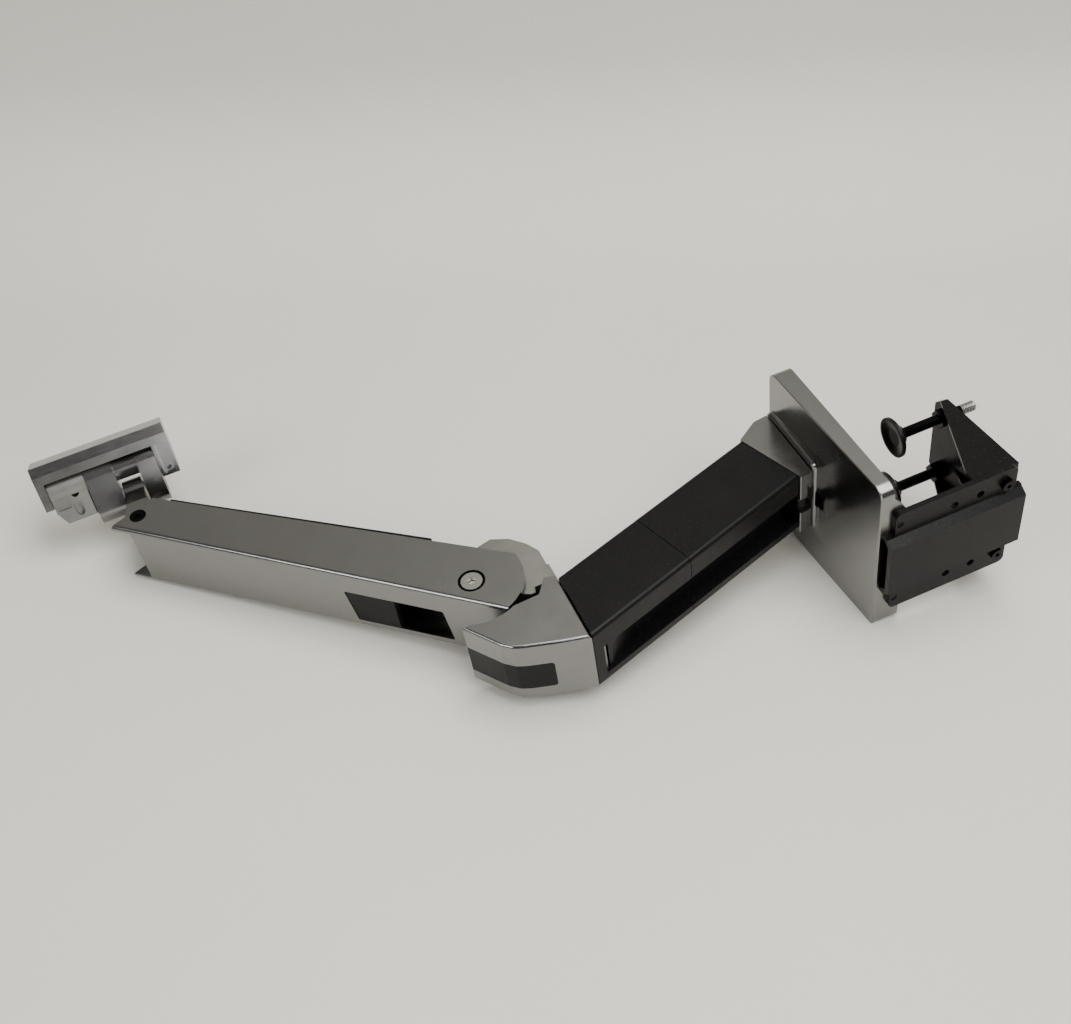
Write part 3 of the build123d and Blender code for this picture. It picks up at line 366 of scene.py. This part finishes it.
def node_slots():
    """Material slot of every node, from the record."""
    return {s["node"]: s["material_slot"] for s in frame["record"]["subparts"]}


# ------------------------------------------------------------------ meshes
def mesh_object(name, points, faces, smooth=True):
    """A new object from arrays of points and faces."""
    mesh = bpy.data.meshes.new(name)
    mesh.from_pydata(points.tolist(), [], faces)
    mesh.update()
    mesh.polygons.foreach_set("use_smooth", np.full(len(mesh.polygons), smooth))
    piece = bpy.data.objects.new(name, mesh)
    bpy.context.scene.collection.objects.link(piece)
    return piece


def ring_faces(rings, around):
    """Quads between closed rings of points, outward when rings run against the turn."""
    i = np.arange(rings - 1)[:, None] * around
    j = np.arange(around)[None, :]
    k = (j + 1) % around
    return np.stack([i + j, i + k, i + around + k, i + around + j], -1).reshape(-1, 4).tolist()


def clamp_rod(side):
    """Threaded rod. The radius at height z and angle a is the crest radius less the depth times a
    triangle wave of z over the pitch minus a over a full turn; ends are chamfered and the lower one
    has a hexagon socket whose radius is the apothem over the cosine of the angle to the nearest flat."""
    low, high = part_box(f"clamp_screw_{side}")
    centre = (low + high) / 2
    crest = (high.x - low.x) / 2
    pitch, depth = sizes().thread_pitch, sizes().thread_depth
    around = 48
    z = np.arange(low.z, high.z, pitch / 10)
    angle = np.arange(around) / around * 2 * math.pi
    zz, aa = np.meshgrid(z, angle, indexing="ij")
    phase = (zz / pitch - aa / (2 * math.pi)) % 1.0
    wave = np.abs(phase * 2 - 1)
    plain = np.clip((zz - low.z - 1.2 * MM) / MM, 0, 1) * np.clip((high.z - 0.6 * MM - zz) / MM, 0, 1)
    radius = crest - depth * np.clip(wave * 1.25 - 0.12, 0, 1) * plain
    radius = np.minimum(radius, crest - 0.9 * MM + (zz - low.z))
    radius = np.minimum(radius, crest - 0.4 * MM + (high.z - zz))
    thread = np.stack([radius * np.cos(aa), radius * np.sin(aa), zz], -1)
    nearest = (angle + math.pi / 6) % (math.pi / 3) - math.pi / 6
    socket = 2.0 * MM / np.cos(nearest)

    def ring(reach, height):
        """One closed ring of points, its radius given around the turn."""
        return np.stack([reach * np.cos(angle), reach * np.sin(angle), np.full(around, height)], -1)

    inner = np.stack(
        [
            ring(socket * CLOSED_TIP, low.z + 6 * MM),
            ring(socket * 1.0, low.z + 5 * MM),
            ring(socket * 1.0, low.z),
        ]
    )
    top = ring(CLOSED_TIP * crest, z[-1])[None]
    points = np.concatenate([inner, thread, top]).reshape(-1, 3) + np.array([centre.x, centre.y, 0.0])
    faces = ring_faces(len(inner) + len(z) + 1, around)
    piece = mesh_object(f"rod_thread_{side}", points, faces)
    paint(piece, "blackened_steel")
    piece.data.materials.append(make_materials()["zinc_steel"])
    face_z = points[np.array(faces)].mean(axis=1)[:, 2]
    piece.data.polygons.foreach_set("material_index", (face_z < low.z + sizes().bright_end).astype(int))
    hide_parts(f"clamp_screw_{side}")
    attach(piece, f"clamp_{side}")
    return piece


# ------------------------------------------------------------------ stage
VIEW_RIGHT = Vector((0.381, -0.126, -0.916))
VIEW_UP = Vector((-0.645, 0.673, -0.361))
VIEW_BACK = Vector((0.662, 0.729, 0.175))
VIEW_PLACE = Vector((0.6209, 0.7424, 0.3850))
FLOOR_NORMAL = Vector((-0.06, 0.99, -0.11)).normalized()
FLOOR_DROP = -0.0735
SWEEP_START = 0.352
SWEEP_RADIUS = 0.16
# painted shade on the wall: the height over which the paper darkens, and the share of its brightness left
# there
WALL_PAINTED_SHADE_HEIGHT = 0.45
WALL_PAINTED_SHADE = 0.50
FLOOR_REACH = 1.6
FLOOR_HALF_WIDTH = 2.6
WALL_HEIGHT = 2.5
LIT_MIDDLE = Vector((-0.05, 0.0, 0.25))
HEAD_PLACE = Vector((-0.22, 0.0, 0.48))
FRONT_BOX_PLACE = Vector((1.7, 0.55, 0.1))
WARM_WHITE = (1.0, 0.985, 0.955)
ROOM_STRENGTH = 0.42
LENS_MM = 47.06
SENSOR_MM = 36.0


def floor_axes():
    """Directions on the floor: away from the camera, and across."""
    across = (VIEW_RIGHT - VIEW_RIGHT.dot(FLOOR_NORMAL) * FLOOR_NORMAL).normalized()
    away = FLOOR_NORMAL.cross(across).normalized()
    return away, across


def floor_material():
    """Matt paper: pale and faintly mottled, with painted shade that darkens it up the wall so that the
    polished faces that mirror it read as grey metal; clear when seen from behind so that the object stays
    in view."""
    material, tree = new_material("matt paper")
    place = add(tree, "ShaderNodeTexCoord").outputs["Object"]
    patch = noise(tree, place, 0.25, 3.0)
    fine = noise(tree, place, 2.5 * MM, 3.0)
    base = linear(colours().floor)
    rise = add(
        tree, "ShaderNodeVectorMath", {0: place}, {1: tuple(FLOOR_NORMAL)}, operation="DOT_PRODUCT"
    ).outputs["Value"]
    mottled = blend_colour(tree, patch, base, dimmed(base, 0.93))
    # painted shade: the paper's colour darkens with its height up the wall, standing in for the light
    # falling off there
    painted_wall_shade = add(tree, "ShaderNodeMix", {}, {7: dimmed(base, WALL_PAINTED_SHADE)}, data_type="RGBA")
    tree.links.new(ramp(tree, rise, 0.0, WALL_PAINTED_SHADE_HEIGHT, 0.0, 1.0), painted_wall_shade.inputs[0])
    tree.links.new(mottled, painted_wall_shade.inputs[6])
    paper = add(
        tree,
        "ShaderNodeBsdfPrincipled",
        {"Base Color": painted_wall_shade.outputs[2], "Normal": bumped(tree, fine, 0.05 * MM, 0.5)},
        {"Roughness": 0.7, "Specular IOR Level": 0.3},
    )
    clear = add(tree, "ShaderNodeBsdfTransparent")
    behind = add(tree, "ShaderNodeNewGeometry").outputs["Backfacing"]
    mix = add(tree, "ShaderNodeMixShader", {0: behind, 1: paper.outputs[0], 2: clear.outputs[0]})
    finish_material(tree, mix)
    return material


def make_floor():
    """Paper sweep: flat under the object, then a quarter-round up to a wall.
    Points follow the path length s: flat up to the start, an arc of the sweep radius, then straight up."""
    away, across = floor_axes()
    arc = SWEEP_RADIUS * math.pi / 2
    s = np.concatenate(
        [
            np.linspace(-FLOOR_REACH, SWEEP_START, 12),
            SWEEP_START + np.linspace(0, arc, 24)[1:],
            [SWEEP_START + arc + WALL_HEIGHT],
        ]
    )
    turn = np.clip((s - SWEEP_START) / SWEEP_RADIUS, 0, math.pi / 2)
    along = np.minimum(s, SWEEP_START) + SWEEP_RADIUS * np.sin(turn)
    rise = SWEEP_RADIUS * (1 - np.cos(turn)) + np.maximum(s - SWEEP_START - arc, 0)
    side = np.linspace(-FLOOR_HALF_WIDTH, FLOOR_HALF_WIDTH, 9)
    origin = np.array(FLOOR_NORMAL * FLOOR_DROP)
    grid = (
        origin
        + along[:, None, None] * np.array(away)
        + rise[:, None, None] * np.array(FLOOR_NORMAL)
        + side[None, :, None] * np.array(across)
    )
    rows, columns = grid.shape[:2]
    i = np.arange(rows - 1)[:, None] * columns
    j = np.arange(columns - 1)[None, :]
    faces = np.stack([i + j, i + j + 1, i + columns + j + 1, i + columns + j], -1).reshape(-1, 4)
    piece = mesh_object("paper_sweep", grid.reshape(-1, 3), faces.tolist())
    facing = Vector(piece.data.polygons[0].normal)
    if facing.dot(FLOOR_NORMAL) < 0:
        piece.data.flip_normals()
    piece.data.materials.append(floor_material())


def soft_light(name, place, target, width, height, power, tone=(1.0, 1.0, 1.0)):
    """A rectangular soft box aimed at a point."""
    light = bpy.data.lights.new(name, "AREA")
    light.shape = "RECTANGLE"
    light.size = width
    light.size_y = height
    light.energy = power
    light.color = tone
    lamp = bpy.data.objects.new(name, light)
    lamp.location = place
    lamp.rotation_mode = "QUATERNION"
    lamp.rotation_quaternion = (Vector(target) - Vector(place)).to_track_quat("-Z", "Y")
    bpy.context.scene.collection.objects.link(lamp)


def room_light():
    """Grey room: bright overhead, dimmer towards the sides and darkest behind the camera.
    Brightness is a remap of the cosine between the view direction and the floor normal,
    times a remap of its cosine with the direction towards the camera."""
    world = bpy.data.worlds.new("grey room")
    world.use_nodes = True
    tree = world.node_tree
    tree.nodes.clear()
    place = add(tree, "ShaderNodeTexCoord").outputs["Generated"]
    shares = []
    for axis, low, high, dark, bright in (
        (FLOOR_NORMAL, 0.0, 0.95, 0.10, 1.0),
        (VIEW_BACK, -0.1, 0.9, 1.0, 0.22),
    ):
        lean = add(
            tree, "ShaderNodeVectorMath", {0: place}, {1: tuple(axis)}, operation="DOT_PRODUCT"
        ).outputs["Value"]
        shares.append(ramp(tree, lean, low, high, dark, bright))
    share = add(tree, "ShaderNodeMath", {0: shares[0], 1: shares[1]}, operation="MULTIPLY")
    power = add(tree, "ShaderNodeMath", {0: share.outputs[0]}, {1: ROOM_STRENGTH}, operation="MULTIPLY")
    glow = add(
        tree, "ShaderNodeBackground", {"Strength": power.outputs[0]}, {"Color": WARM_WHITE + (1.0,)}
    )
    add(tree, "ShaderNodeOutputWorld", {"Surface": glow.outputs[0]})
    bpy.context.scene.world = world


def make_lights():
    """Large overhead soft box, a weak side box and a weak front box that the head faces mirror."""
    away, across = floor_axes()
    middle = LIT_MIDDLE
    up = FLOOR_NORMAL
    overhead = middle + up * 1.5 - away * 0.3 + across * 0.45
    left = middle + up * 1.2 - across * 1.2 - away * 1.1
    soft_light("overhead_box", overhead, middle, 2.0, 1.0, 45, WARM_WHITE)
    soft_light("left_box", left, middle, 0.9, 0.9, 15, (1.0, 0.99, 0.97))
    soft_light("front_box", FRONT_BOX_PLACE, HEAD_PLACE, 1.1, 0.8, 11, (1.0, 0.995, 0.98))
    room_light()


def make_camera():
    """Camera at the chosen viewing angle, level with the floor the object lies on."""
    data = bpy.data.cameras.new("view")
    data.sensor_width = SENSOR_MM
    data.lens = LENS_MM
    data.clip_end = 30.0
    camera = bpy.data.objects.new("view", data)
    back = VIEW_BACK.normalized()
    right = (VIEW_RIGHT - VIEW_RIGHT.dot(back) * back).normalized()
    up = back.cross(right)
    turn = Matrix((right, up, back)).transposed().to_4x4()
    camera.matrix_world = Matrix.Translation(VIEW_PLACE) @ turn
    bpy.context.scene.collection.objects.link(camera)
    bpy.context.scene.camera = camera


# ------------------------------------------------------------------ operators
class MONITORARM_OT_paint(bpy.types.Operator):
    """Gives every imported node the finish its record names"""

    bl_idname = "monitorarm.paint"
    bl_label = "Paint parts"

    def execute(self, context):
        for node, slot_name in node_slots().items():
            paint(frame["nodes"][node], slot_name)
        return {"FINISHED"}


class MONITORARM_OT_rods(bpy.types.Operator):
    """Makes the two threaded clamp rods"""

    bl_idname = "monitorarm.rods"
    bl_label = "Clamp rods"

    def execute(self, context):
        for side in ("left", "right"):
            clamp_rod(side)
        return {"FINISHED"}


class MONITORARM_OT_stage(bpy.types.Operator):
    """Makes the floor, lights, world and camera"""

    bl_idname = "monitorarm.stage"
    bl_label = "Stage"

    def execute(self, context):
        make_floor()
        make_lights()
        make_camera()
        return {"FINISHED"}


OPERATORS = (MONITORARM_OT_paint, MONITORARM_OT_rods, MONITORARM_OT_stage)


class MONITORARM_PT_panel(bpy.types.Panel):
    """Buttons for each step, in the order they run"""

    bl_label = "Monitor Arm"
    bl_idname = "MONITORARM_PT_panel"
    bl_space_type = "VIEW_3D"
    bl_region_type = "UI"
    bl_category = "Monitor Arm"

    def draw(self, context):
        for operator in OPERATORS:
            self.layout.operator(operator.bl_idname)


CLASSES = (MonitorArmColours, MonitorArmSizes) + OPERATORS + (MONITORARM_PT_panel,)


def register():
    """Registers the settings, operators and panel."""
    for item in CLASSES:
        bpy.utils.register_class(item)
    bpy.types.Scene.monitor_arm_colours = bpy.props.PointerProperty(type=MonitorArmColours)
    bpy.types.Scene.monitor_arm_sizes = bpy.props.PointerProperty(type=MonitorArmSizes)


def unregister():
    """Removes what register added."""
    del bpy.types.Scene.monitor_arm_sizes
    del bpy.types.Scene.monitor_arm_colours
    for item in reversed(CLASSES):
        bpy.utils.unregister_class(item)


def main():
    """Runs every step in order."""
    register()
    bpy.ops.monitorarm.paint()
    bpy.ops.monitorarm.rods()
    bpy.ops.monitorarm.stage()


if __name__ == "__main__":
    main()
